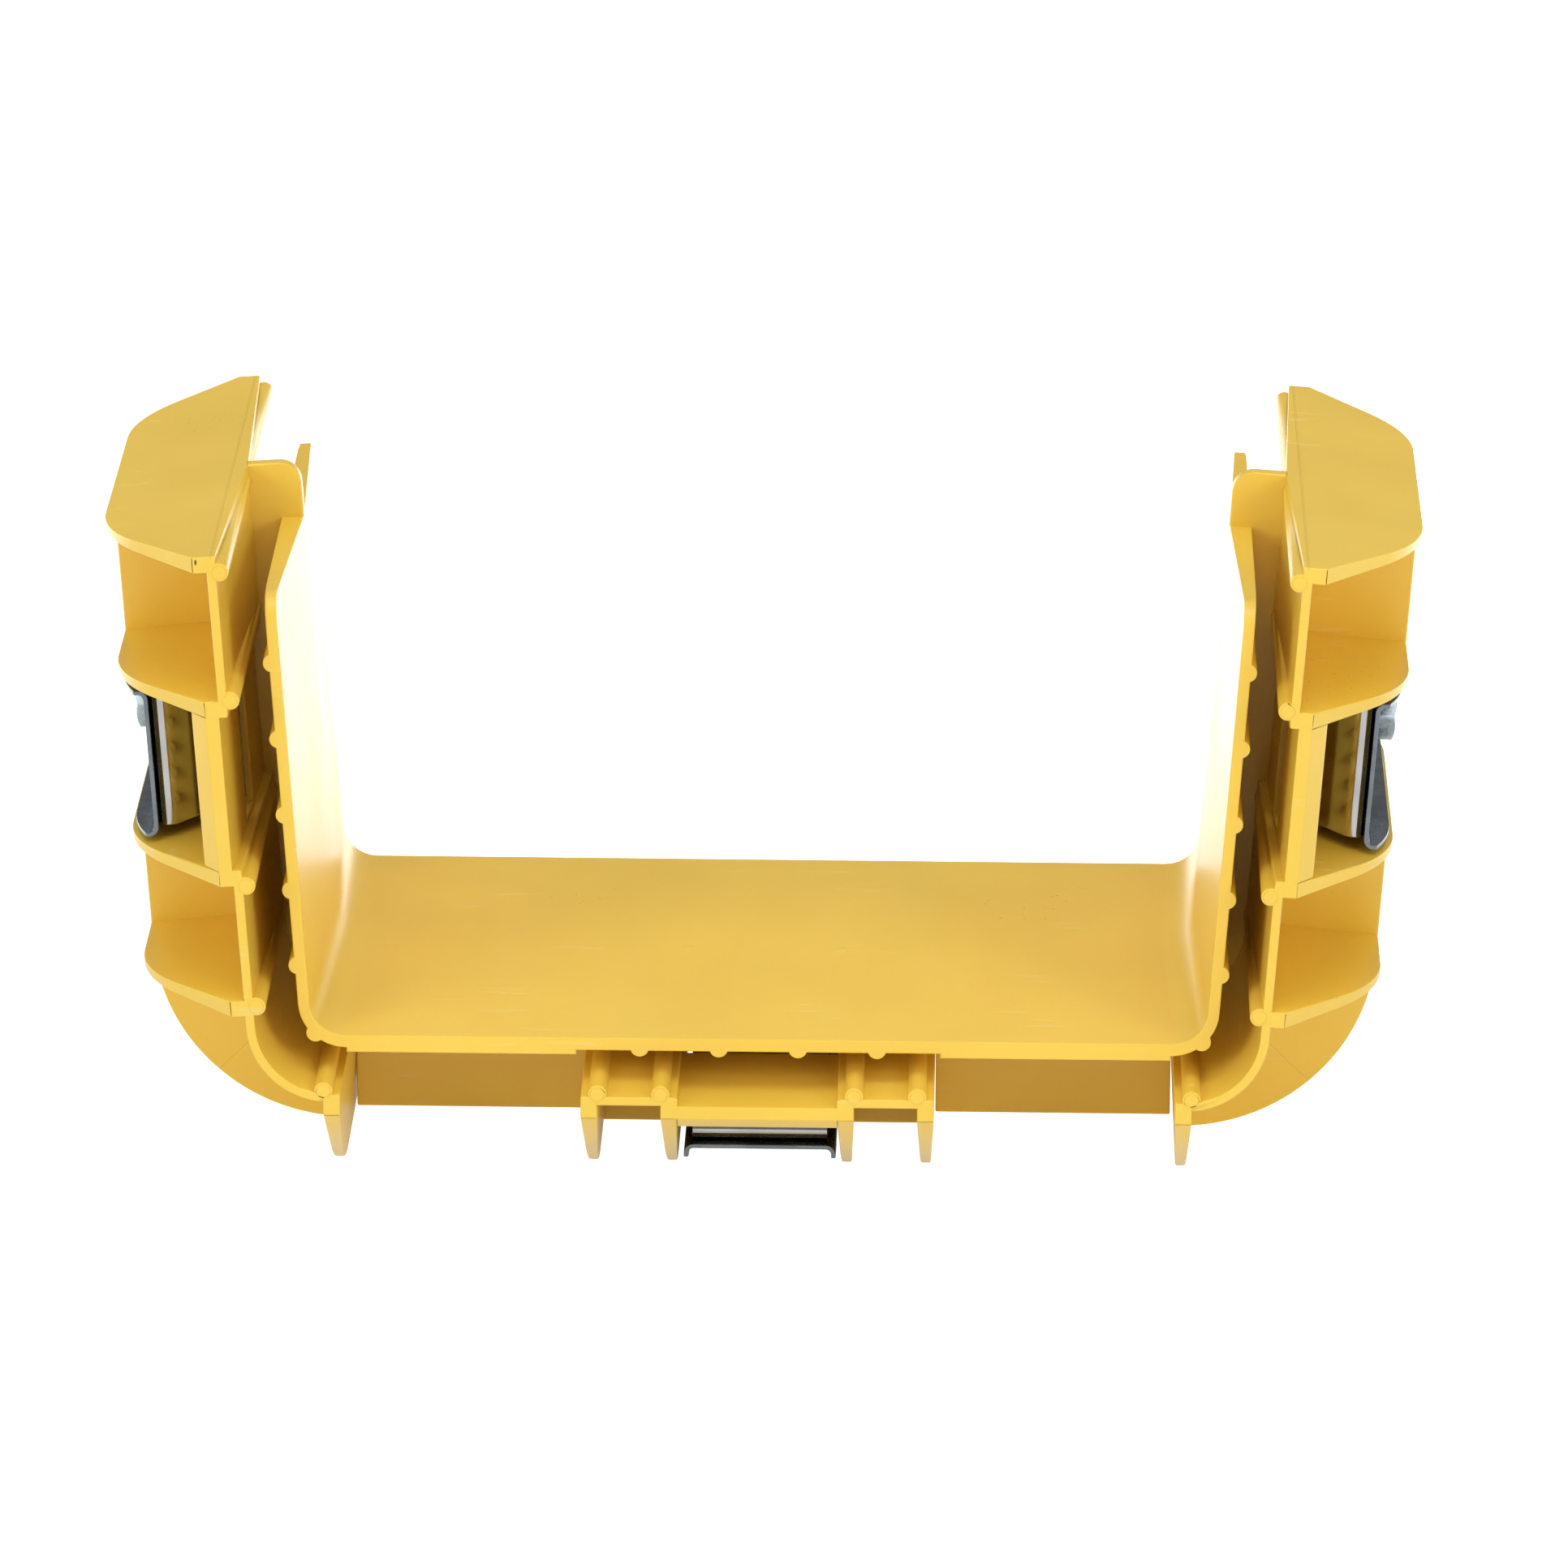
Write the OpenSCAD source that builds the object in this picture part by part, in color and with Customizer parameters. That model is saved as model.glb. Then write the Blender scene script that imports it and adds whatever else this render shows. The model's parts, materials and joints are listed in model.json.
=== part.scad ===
// Coupler for a U-shaped cable raceway: two trough ends push in from the
// front and the back, between the inner tray and the outer brackets, until
// they meet the cross web. Three steel clamps then hold them.
// X runs across the raceway, Y along it, Z up. It rests on its feet at Z = 0.

/* [Inner tray] */
// Outer width of the tray at its floor
tray_w = 146.7; // [120:0.1:320]
// Height of the tray, along its leaning side
tray_h = 75.6; // [72:0.1:140]
// Length of the tray along the raceway
tray_len = 91.2; // [78:0.1:140]
// Lean of both sides, in degrees
lean = 4; // [0:0.5:8]
// Radius of the top end corners of its sides
tray_end_r = 4.5; // [2:0.5:8]
// Outer radius between floor and side
tray_corner_r = 7.75; // [6:0.25:10]
// Floor thickness at the ends
floor_t = 2.1; // [1.6:0.1:2.6]
// Floor thickness over the cross web
floor_mid_t = 3.75; // [3:0.05:5]
// Side thickness at the ends
side_t = 1.8; // [1.4:0.1:2.4]
// Side thickness over the cross web
side_mid_t = 3.6; // [3:0.1:5]
// Spacing of the beads that centre a trough
bead_pitch = 12.7; // [10:0.1:13]
// Depth of the pads under the floor
pad_t = 0.75; // [0.4:0.05:1]

/* [Outer walls] */
// Length of the walls along the raceway
wall_len = 104.4; // [95:0.1:150]
// Slot between tray and side wall
side_gap = 6.55; // [6:0.05:9]
// Slot between tray and floor wall
floor_gap = 5.6; // [5.2:0.05:8]
// Wall thickness at the ends
wall_t = 1.45; // [1.4:0.05:2.5]
// Extra wall thickness over the cross web
wall_mid_extra = 1.65; // [0.8:0.05:2]
// Radius of the slot's outer side around each corner
corner_r = 12; // [11:0.25:13]
// Bead radius
bead_r = 1.5; // [1.2:0.05:1.6]
// How far a bead's axis lies off its wall's face
bead_offset = 0.5; // [0.3:0.05:0.6]
// Radius of the pin mark on a bead's end
bead_pin_r = 1.1; // [0.6:0.05:1.1]
// Height of that mark
bead_pin_h = 0.15; // [0.1:0.05:0.3]

/* [Shelves and feet] */
// How far shelves and feet stand out
shelf_reach = 18.4; // [18:0.1:24]
// Their thickness at the wall
shelf_t = 2.7; // [2.2:0.1:3]
// Their thickness at the rim
shelf_tip_t = 1.45; // [1.2:0.05:2]
// Straight part of their front edge
shelf_nose = 2.1; // [1:0.1:4]
// Radius of their swept corners
shelf_r = 30; // [26:1:34]
// Turn of those corners, in degrees
shelf_turn = 39; // [36:1:42]
// Height of the upper pair, outside to outside
upper_pair_h = 26.65; // [20:0.05:40]
// Height of the lower pair
lower_pair_h = 24.65; // [22:0.05:25.5]
// Width of each pair of feet
feet_pair_w = 15.5; // [13:0.1:24]
// Outer face of each paired rib, off the middle
rib_y = 8; // [7.5:0.1:9]
// Rib thickness
rib_t = 2; // [1.5:0.1:3]
// How far the ribs under the floor stop short of the feet
floor_rib_inset = 2; // [1:0.1:4]

/* [Cross web] */
// Thickness of the cross web
web_t = 2.5; // [2:0.1:4]
// How far it stands above the tray
web_rise = 9.25; // [6:0.05:12]
// Radius of its inner top corner
web_r = 3.5; // [2:0.25:3.6]

/* [Clamp pocket] */
// Clear width of a pocket between its shelves
pocket_w = 25.6; // [25.4:0.1:32]
// Height of a side pocket's middle along the tray side
pocket_h = 45.4; // [45:0.1:60]
// Pocket wall thickness at the ends
pocket_t = 2.15; // [1.8:0.05:2.6]
// Height of the beam across each end
beam_h = 2.55; // [2:0.05:3]
// Length of the beam's ramp
beam_ramp = 3.7; // [3:0.1:5]
// Length of the beam
beam_len = 6; // [5:0.1:7]
// Jaw window, nearest edge to the middle
window_in = 18; // [16:0.1:18]
// Jaw window, farthest edge from the middle
window_out = 28.3; // [28:0.1:29]
// Jaw window width
window_w = 24.8; // [23:0.1:24.8]
// Number of stiffening ribs on a pocket wall
pocket_ribs = 5; // [3:1:5]
// Their spacing
pocket_rib_pitch = 4.3; // [3:0.1:4.6]
// Their height
pocket_rib_h = 1.85; // [1:0.05:1.9]
// Their thickness
pocket_rib_t = 1.2; // [0.8:0.1:1.6]
// Their nearest end to the middle
pocket_rib_in = 31; // [30.5:0.1:34]
// Side of the square boss that holds the nut
boss_w = 14; // [12:0.5:15]

/* [Clamp] */
// Bolt thread diameter
bolt_d = 5; // [4:0.5:5]
// Bolt length under the head
bolt_len = 10; // [9:0.5:10.5]
// Width across the flats of head and nut
hex_w = 8; // [7:0.5:8]
// Height of the bolt head
head_h = 3.5; // [2.8:0.1:3.6]
// Turn of the bolt head, in degrees
head_turn = 50; // [0:1:59]
// Nut height
nut_h = 4; // [3:0.1:4]
// Washer diameter
washer_d = 10; // [9:0.5:14]
// Washer thickness
washer_t = 1; // [0.6:0.1:1]
// Inner face of the channel's web, off the wall
channel_x = 13; // [12.8:0.1:13.1]
// Channel sheet thickness
channel_t = 0.7; // [0.6:0.1:0.9]
// Channel length
channel_len = 68; // [66:0.5:70]
// Outer bend radius of the channel
channel_r = 1.6; // [1.2:0.1:2]
// Jaw sheet thickness
jaw_t = 1; // [0.8:0.1:1.2]
// Jaw width
jaw_w = 21.9; // [20:0.1:22]
// Jaw length over its noses
jaw_len = 65; // [64:0.5:65]
// Outer radius of a jaw nose
jaw_r = 1.8; // [1.5:0.1:2]
// Angle of a jaw leg to the bolt, in degrees
jaw_angle = 50; // [48:1:52]
// Play around the sheet steel and the bolt
play = 0.5; // [0.3:0.05:0.6]

/* [Hidden] */
$fn = 64;
// Overshoot of cuts
eps = 0.01;
// Play where curved faces of the moulding meet
seam = 0.03;
// Play of the bolt in its nut, all round
thread_play = 0.1;
hull_fn = 32;
yellow = "#e6c04a";
zinc = "#b4bcc2";
stainless = "#9c9d9c";

half_w = tray_w / 2;
// Places of the walls, off the tray side and under the floor
side_x = side_gap + wall_t;
base_drop = floor_gap + wall_t;
floor_z = base_drop + shelf_reach;
wall_mid_t = wall_t + wall_mid_extra;
// Middle of the outer corner, along and off the tray side, then in X and Z
corner_off = side_gap - corner_r;
corner_h = (corner_r - floor_gap + corner_off * sin(lean)) / cos(lean);
corner_x = half_w + corner_h * sin(lean) + corner_off * cos(lean);
corner_z = corner_r - floor_gap;
corner_wall_r = corner_r + wall_t;
corner_turn = 90 - lean;
// Middle of the tray's own corner
tray_corner_h = tray_corner_r * (1 - sin(lean)) / cos(lean);
tray_corner_x = half_w + tray_corner_h * sin(lean) - tray_corner_r * cos(lean);
// Shelves and feet, off the middle of their pocket
pocket_half = pocket_w / 2;
upper_top = pocket_half + upper_pair_h;
lower_end = -pocket_half - lower_pair_h;
feet_end = pocket_half + feet_pair_w;
web_top = tray_h + web_rise;
draft = (shelf_t - shelf_tip_t) / 2;
// The lowest bead on a side, above the end of the lower pair
lower_bead = bead_r + 0.1;
// Corner foot, in X
foot_in = corner_x - 1.5;
foot_out = foot_in + shelf_t;
foot_bead = foot_out - 0.05;
// Swept outline of a shelf: middle of its round corner
sweep_x = shelf_reach - shelf_r;
sweep_y = wall_len / 2
    - (shelf_r - (shelf_nose - sweep_x) * cos(shelf_turn)) / sin(shelf_turn);
// Inner edge of the pad under the tray, just outside the feet
pad_in = feet_end + 0.9;
bead_side_h = [for (i = [0 : 4]) 13.85 + i * bead_pitch];
// Clamp stack, off the outer face of the wall
jaw_x = channel_x - jaw_t;
bolt_x = channel_x + channel_t + washer_t;
clamp_travel = 4;
// Room left between jaw and nut once the clamp is tight
jaw_room = 0.4;
nut_x = jaw_x - clamp_travel - jaw_room - nut_h;
channel_w = pocket_w - 2 * play;
channel_inset = 0.4;
jaw_nose_y = jaw_len / 2 - jaw_r;
jaw_tip_x = -0.2;
hex_hole_w = hex_w + 2 * thread_play;
hole_d = bolt_d + play;
// Wall left under the blind hole below the nut
skin_t = 0.4;

function direction(a) = [cos(a), sin(a)];

// ---- frames ----

// Lifts the tray's frame so that the feet stand at Z = 0
module tray_frame() { translate([0, 0, floor_z]) children(); }

// Frame of the right tray side: X off its face, Z up along it
module side_frame() {
    tray_frame() translate([half_w, 0, 0]) rotate([0, lean, 0]) children();
}

// Frame of a pocket: X off the outer face of the wall, Z across the pocket
module right_frame() { side_frame() translate([side_x, 0, pocket_h]) children(); }
module left_frame() { mirror([1, 0, 0]) right_frame() children(); }
module base_frame() {
    tray_frame() translate([0, 0, -base_drop]) rotate([0, 90, 0]) children();
}

// Extrudes a drawing of X and Z along Y
module along(len) { rotate([90, 0, 0]) linear_extrude(len, center = true) children(); }

// ---- inner tray ----

// Outline of the tray's outside, in X and Z
module tray_outline() {
    side = [sin(lean), cos(lean)];
    low = [half_w, 0] + tray_corner_h * side;
    top = [half_w, 0] + tray_h * side;
    in_top = top - side_mid_t * [cos(lean), -sin(lean)];
    polygon([
        [-tray_corner_x, 0], [tray_corner_x, 0], low, top, in_top,
        [-in_top.x, in_top.y], [-top.x, top.y], [-low.x, low.y]
    ]);
    for (s = [-1, 1]) translate([s * tray_corner_x, tray_corner_r]) circle(tray_corner_r);
}

// Beads and the pad on the right half of the tray, grown by a play where the web fits
module tray_beads(play) {
    for (x = [0.5, 1.5]) translate([x * bead_pitch, bead_offset]) circle(bead_r + play);
    translate([half_w, 0]) rotate(-lean)
        for (h = bead_side_h) translate([-bead_offset, h]) circle(bead_r + play);
    translate([tray_corner_x, tray_corner_r]) rotate(-45 - lean / 2)
        translate([tray_corner_r - bead_offset, 0]) circle(bead_r + play);
    translate([pad_in, -pad_t]) square([tray_corner_x - pad_in, pad_t + 1]);
}

// Draws something twice, as it is and mirrored left to right
module both_sides() {
    for (s = [0, 1]) mirror([s, 0, 0]) children();
}

// One cross section of the hollow, with walls as thick as given
module hollow_slice(y, floor_h, side_w, r) {
    rise = tray_h + 10;
    h = (r + floor_h + (-side_w - r) * sin(lean)) / cos(lean);
    low_x = half_w + h * sin(lean) - (side_w + r) * cos(lean);
    top_x = half_w + rise * sin(lean) - side_w * cos(lean);
    translate([0, y, 0]) rotate([90, 0, 0]) linear_extrude(eps) {
        for (s = [-1, 1]) translate([s * low_x, floor_h + r]) circle(r, $fn = hull_fn);
        translate([-top_x, rise]) square([2 * top_x, 1]);
    }
}

module inner_tray() {
    r = tray_corner_r - floor_t;
    color(yellow) tray_frame() difference() {
        union() {
            along(tray_len) tray_outline();
            both_sides() along(tray_len) tray_beads(0);
        }
        for (s = [-1, 1]) hull() {
            hollow_slice(s * (tray_len / 2 + 1), floor_t, side_t, r);
            hollow_slice(-s * web_t / 2, floor_mid_t, side_mid_t, r);
        }
        for (s = [-1, 1]) both_sides()
            translate([half_w, 0, 0]) rotate([0, lean, 0])
                translate([0, s * (tray_len / 2 - tray_end_r), tray_h - tray_end_r])
                    rotate([90, 0, 90]) tray_end_cut(s, tray_end_r);
    }
}

// Rounds the top end corner of a tray side, in flat steps that cross its faces cleanly
module tray_end_cut(s, r) {
    steps = 9;
    arc = [for (i = [0 : steps]) r * direction(i * 90 / steps)];
    low = arc[0] + 0.3 * (arc[0] - arc[1]);
    high = arc[steps] + 0.3 * (arc[steps] - arc[steps - 1]);
    inner = [for (i = [1 : steps - 1]) arc[i]];
    mirror([s > 0 ? 0 : 1, 0, 0]) translate([0, 0, -10]) linear_extrude(20)
        polygon(concat([low], inner, [high, [high.x, r + 1], [r + 1, r + 1], [r + 1, low.y]]));
}

// ---- cross web ----

// Right half of the web, before the tray and the beads are cut out of it
module cross_web_half() {
    translate([half_w, 0]) rotate(-lean) {
        reach = side_x - wall_mid_t;
        translate([0, corner_h]) square([reach, web_top - corner_h]);
        translate([-side_mid_t, tray_h - 1]) square([side_mid_t + 1, web_rise + 1 - web_r]);
        translate([web_r - side_mid_t, tray_h]) square([side_mid_t, web_rise]);
        translate([web_r - side_mid_t, web_top - web_r]) circle(web_r);
        translate([0, pocket_h - pocket_half]) square([side_x - wall_mid_extra, pocket_w]);
    }
    intersection() {
        translate([corner_x, corner_z]) circle(corner_wall_r - wall_mid_t);
        translate([corner_x - 1, corner_z - corner_r]) square([corner_r, 2 * corner_r]);
    }
    floor_y = base_drop - wall_mid_t;
    translate([-1, -floor_y]) square([corner_x + 1, floor_y + 1]);
    translate([-1, wall_mid_extra - base_drop]) square([pocket_half + 1, base_drop]);
}

module cross_web() {
    color(yellow) tray_frame() both_sides() along(web_t) difference() {
        cross_web_half();
        tray_outline();
        tray_beads(seam);
        translate([0, -base_drop]) rotate(-90)
            for (z = [pocket_half + shelf_t, feet_end - shelf_t]) web_bead_cut(z);
        translate([half_w, 0]) rotate(-lean) translate([side_x, pocket_h])
            for (z = [pocket_half + shelf_t, upper_top - shelf_t,
                    -pocket_half - shelf_t, lower_end + lower_bead])
                web_bead_cut(z);
        translate([foot_bead, -base_drop]) rotate(-90) web_bead_cut(0);
    }
}

// Room for a wall's bead, in the pocket's X and Z
module web_bead_cut(z) {
    translate([-wall_t - bead_offset, z]) circle(bead_r + seam);
}

// ---- outer walls ----

// Half-round bead along a wall, with its pin mark on both ends
module wall_bead(z, set_back = 0) {
    translate([-wall_t - bead_offset, 0, z]) rotate([90, 0, 0]) {
        cylinder(r = bead_r, h = wall_len - 2 * set_back, center = true);
        cylinder(r = bead_pin_r, h = wall_len + 2 * bead_pin_h, center = true);
    }
}

// Wall section in X and Y, thicker over the cross web
module wall_section(outer, inner) {
    y = wall_len / 2;
    mid = inner - wall_mid_extra;
    polygon([
        [outer, -y], [outer, y], [inner, y],
        [mid, web_t / 2], [mid, -web_t / 2], [inner, -y]
    ]);
}

// Shelf or foot between two levels, with drafted faces and swept corners
module shelf(z0, z1) {
    intersection() {
        along(wall_len) polygon([
            [-wall_t, z0], [pocket_t, z0], [shelf_reach, z0 + draft],
            [shelf_reach, z1 - draft], [pocket_t, z1], [-wall_t, z1]
        ]);
        translate([0, 0, z0]) linear_extrude(z1 - z0) shelf_outline(0);
    }
}

// Swept outline in X and Y, drawn in by an inset
module shelf_outline(inset) {
    r = shelf_r - inset;
    half = [
        [shelf_nose - inset / cos(shelf_turn), wall_len / 2],
        for (a = [shelf_turn : -3 : 0]) [sweep_x + r * cos(a), sweep_y + r * sin(a)]
    ];
    other = [for (i = [len(half) - 1 : -1 : 0]) [half[i].x, -half[i].y]];
    polygon(concat([[-wall_mid_t, wall_len / 2]], half, other, [[-wall_mid_t, -wall_len / 2]]));
}

// Two shelves with their wall, ribs and beads, from one level to another
module shelf_pair(z0, z1, low_bead = shelf_t) {
    translate([0, 0, z0]) linear_extrude(z1 - z0) wall_section(0, -wall_t);
    shelf(z0, z0 + shelf_t);
    shelf(z1 - shelf_t, z1);
    wall_bead(z0 + low_bead);
    wall_bead(z1 - shelf_t);
    paired_ribs() translate([-eps, z0 + shelf_t / 2]) square([shelf_reach + eps, z1 - z0 - shelf_t]);
}

// Drawing of X and Z made into the two ribs that run round the outside
module paired_ribs() {
    for (s = [-1, 1]) translate([0, s * (rib_y - rib_t / 2), 0]) along(rib_t) children();
}

// Round corner under a side: wall, ribs, bead and foot, for the right side
module outer_corner() {
    far = 2 * (corner_wall_r + shelf_reach);
    top = lower_end + pocket_h + 1;
    side_frame() {
        translate([side_x, 0, corner_h])
            linear_extrude(top - corner_h) wall_section(0, -wall_t);
        paired_ribs() translate([side_x - eps, corner_h])
            square([shelf_reach + eps, top - corner_h]);
        translate([corner_off, 0, corner_h]) {
            rotate([-90, 0, 0]) rotate_extrude(angle = corner_turn, $fn = 96)
                translate([corner_wall_r, 0]) wall_section(0, -wall_t);
            paired_ribs() intersection() {
                difference() {
                    circle(corner_wall_r + shelf_reach, $fn = 128);
                    circle(corner_wall_r - eps, $fn = 96);
                }
                polygon([[0, 0], [far, 0], [far, -far], [far * tan(lean), -far]]);
            }
        }
    }
    base_frame() {
        shelf(foot_in, foot_out);
        wall_bead(foot_bead, 0.05);
    }
}

// Pocket wall with its end beams, ribs, jaw windows and nut boss
module clamp_pocket() {
    y = wall_len / 2;
    difference() {
        union() {
            translate([0, 0, -pocket_half]) linear_extrude(pocket_w) wall_section(pocket_t, 0);
            for (s = [0, 1]) mirror([0, s, 0]) translate([0, 0, -pocket_half])
                linear_extrude(pocket_w) polygon([
                    [pocket_t - 1, y], [pocket_t, y], [pocket_t + beam_h, y - beam_ramp],
                    [pocket_t + beam_h, y - beam_len], [pocket_t - 1, y - beam_len]
                ]);
            for (s = [-1, 1], i = [0 : pocket_ribs - 1]) pocket_rib(s, i);
            boss_h = nut_x + nut_h - pocket_t;
            translate([pocket_t + boss_h / 2, 0, 0]) cube([boss_h, boss_w, boss_w], center = true);
        }
        for (s = [-1, 1]) jaw_window(s);
        rotate([0, 90, 0]) {
            translate([0, 0, nut_x]) rotate(30) cylinder(d = hex_hole_w / cos(30), h = nut_h + 1, $fn = 6);
            translate([0, 0, skin_t]) cylinder(d = hole_d, h = nut_x);
        }
    }
}

module pocket_rib(s, i) {
    len = wall_len / 2 - beam_len - pocket_rib_in + 1;
    z = (i - (pocket_ribs - 1) / 2) * pocket_rib_pitch;
    translate([pocket_t, s * (pocket_rib_in + len / 2), z])
        cube([2 * pocket_rib_h, len, pocket_rib_t], center = true);
}

module jaw_window(s) {
    len = window_out - window_in;
    translate([0, s * (window_in + len / 2), 0]) cube([20, len, window_w], center = true);
}

// Strip and ribs that join a corner foot to the feet under the floor
module floor_rib() {
    base_frame() {
        translate([-wall_mid_t, -rib_y, feet_end])
            cube([wall_mid_t, 2 * rib_y, foot_in - feet_end]);
        paired_ribs() translate([-eps, feet_end])
            square([shelf_reach - floor_rib_inset + eps, foot_in - feet_end]);
    }
}

// ---- clamp ----

// Sheet channel: its web bears on the jaw, its edges stand outwards
module channel() {
    intersection() {
        along(channel_len) difference() {
            channel_section(0);
            channel_section(channel_t);
        }
        translate([0, 0, -pocket_half]) linear_extrude(pocket_w) intersection() {
            shelf_outline(channel_inset);
            translate([channel_x, -channel_len / 2]) square([shelf_reach, channel_len]);
        }
    }
}

// Rounded channel outline in X and Z, drawn in by a sheet thickness on three sides
module channel_section(t) {
    r = channel_r - t;
    w = channel_w / 2 - t;
    translate([channel_x + t + r, -w]) square([shelf_reach, 2 * w]);
    translate([channel_x + t, r - w]) square([shelf_reach, 2 * (w - r)]);
    for (s = [-1, 1]) translate([channel_x + t + r, s * (w - r)]) circle(r);
}

module clamp_channel() {
    color(zinc) difference() {
        channel();
        translate([channel_x - 1, 0, 0]) rotate([0, 90, 0]) cylinder(d = hole_d, h = 3);
    }
}

// Half of a jaw's section in X and Y: flat, nose and leg
module jaw_half() {
    steps = 14;
    turn = 90 + jaw_angle;
    nose = [channel_x - jaw_r, jaw_nose_y];
    outer = [for (i = [0 : steps]) nose + jaw_r * direction(i * turn / steps)];
    inner = [for (i = [steps : -1 : 0]) nose + (jaw_r - jaw_t) * direction(i * turn / steps)];
    leg = (outer[steps].x - jaw_tip_x) / sin(turn) * direction(turn + 90);
    polygon(concat(
        [[channel_x, -1]], outer, [outer[steps] + leg, inner[0] + leg], inner, [[jaw_x, -1]]
    ));
}

module clamp_jaw() {
    color(stainless) difference() {
        for (s = [0, 1]) mirror([0, s, 0])
            translate([0, 0, -jaw_w / 2]) linear_extrude(jaw_w) jaw_half();
        translate([jaw_x - 1, 0, 0]) rotate([0, 90, 0]) cylinder(d = hole_d, h = 3);
    }
}

module clamp_washer() {
    color(zinc) translate([bolt_x - washer_t, 0, 0]) rotate([0, 90, 0]) difference() {
        cylinder(d = washer_d, h = washer_t);
        translate([0, 0, -1]) cylinder(d = bolt_d + play, h = washer_t + 2);
    }
}

module clamp_bolt() {
    chamfer = 0.5;
    color(zinc) translate([bolt_x, 0, 0]) rotate([0, 90, 0]) {
        intersection() {
            rotate(head_turn) cylinder(d = hex_w / cos(30), h = head_h, $fn = 6);
            union() {
                cylinder(d = hex_w / cos(30) + 1, h = head_h - chamfer);
                translate([0, 0, head_h - chamfer])
                    cylinder(d1 = hex_w / cos(30), d2 = hex_w - 0.4, h = chamfer);
            }
        }
        translate([0, 0, -bolt_len]) cylinder(d = bolt_d - 2 * thread_play, h = bolt_len + eps);
    }
}

module clamp_nut() {
    color(zinc) translate([nut_x, 0, 0]) rotate([0, 90, 0]) difference() {
        rotate(30) cylinder(d = hex_w / cos(30), h = nut_h, $fn = 6);
        translate([0, 0, -1]) cylinder(d = bolt_d, h = nut_h + 2);
    }
}

// ---- the moulding's regions ----

module upper_shelves() { shelf_pair(pocket_half, upper_top); }

module lower_shelves() {
    right_frame() shelf_pair(lower_end, -pocket_half, lower_bead);
    outer_corner();
}

inner_tray();
cross_web();
color(yellow) left_frame() upper_shelves();  // left_upper_shelves
color(yellow) left_frame() clamp_pocket();  // left_clamp_pocket
color(yellow) mirror([1, 0, 0]) lower_shelves();  // left_lower_shelves
color(yellow) right_frame() upper_shelves();  // right_upper_shelves
color(yellow) right_frame() clamp_pocket();  // right_clamp_pocket
color(yellow) lower_shelves();  // right_lower_shelves
color(yellow) mirror([1, 0, 0]) base_frame() shelf_pair(pocket_half, feet_end);  // base_left_feet
color(yellow) base_frame() clamp_pocket();  // base_clamp_pocket
color(yellow) base_frame() shelf_pair(pocket_half, feet_end);  // base_right_feet
color(yellow) mirror([1, 0, 0]) floor_rib();  // left_floor_rib
color(yellow) floor_rib();  // right_floor_rib
left_frame() clamp_channel();  // left_channel
left_frame() clamp_jaw();  // left_jaw
left_frame() clamp_washer();  // left_washer
left_frame() clamp_bolt();  // left_bolt
left_frame() clamp_nut();  // left_nut
right_frame() clamp_channel();  // right_channel
right_frame() clamp_jaw();  // right_jaw
right_frame() clamp_washer();  // right_washer
right_frame() clamp_bolt();  // right_bolt
right_frame() clamp_nut();  // right_nut
base_frame() clamp_channel();  // base_channel
base_frame() clamp_jaw();  // base_jaw
base_frame() clamp_washer();  // base_washer
base_frame() clamp_bolt();  // base_bolt
base_frame() clamp_nut();  // base_nut
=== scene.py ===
# %% [markdown]
# # A three-clamp coupler for a cable raceway
#
# The object is a yellow moulded coupler. Two U-shaped raceway troughs push into it from the front and the
# back, and three steel clamps, one on each side and one underneath, hold them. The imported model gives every
# piece its place and size. This script gives every piece its finish: rounded edges, a thread on each bolt,
# the small marks that a mould leaves, and materials worked out from noise and position.
#
# All lengths are in metres, X runs across the raceway, Y along it, and Z up from the plane the feet stand on.

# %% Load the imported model
import json
import math

import bmesh
import bpy
import numpy as np
from mathutils import Matrix, Vector
from mathutils.bvhtree import BVHTree


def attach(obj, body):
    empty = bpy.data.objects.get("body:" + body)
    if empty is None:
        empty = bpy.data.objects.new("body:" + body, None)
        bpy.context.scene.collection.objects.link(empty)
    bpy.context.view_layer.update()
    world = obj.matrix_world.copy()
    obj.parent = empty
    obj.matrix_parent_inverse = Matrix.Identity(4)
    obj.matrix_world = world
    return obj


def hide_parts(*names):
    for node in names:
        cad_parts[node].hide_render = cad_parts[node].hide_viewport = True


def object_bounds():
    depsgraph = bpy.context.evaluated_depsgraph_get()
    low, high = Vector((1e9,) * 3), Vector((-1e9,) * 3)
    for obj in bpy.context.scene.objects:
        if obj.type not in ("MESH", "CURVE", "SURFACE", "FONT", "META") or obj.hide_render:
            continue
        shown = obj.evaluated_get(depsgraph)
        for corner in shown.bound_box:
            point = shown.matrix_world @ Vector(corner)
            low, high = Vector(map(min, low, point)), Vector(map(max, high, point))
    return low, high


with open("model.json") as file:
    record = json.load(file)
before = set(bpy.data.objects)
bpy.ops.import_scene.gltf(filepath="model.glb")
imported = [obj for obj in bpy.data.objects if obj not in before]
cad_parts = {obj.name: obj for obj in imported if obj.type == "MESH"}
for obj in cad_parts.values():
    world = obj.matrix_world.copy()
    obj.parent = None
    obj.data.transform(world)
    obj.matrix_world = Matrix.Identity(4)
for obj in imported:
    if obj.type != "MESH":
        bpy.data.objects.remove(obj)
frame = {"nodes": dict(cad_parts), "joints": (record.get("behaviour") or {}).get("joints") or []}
MM = 0.001
cad_low, cad_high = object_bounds()
joints = {j["name"]: j for j in frame["joints"]}
print("CAD box in mm:", [round((h - l) / MM, 1) for l, h in zip(cad_low, cad_high)])

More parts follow.
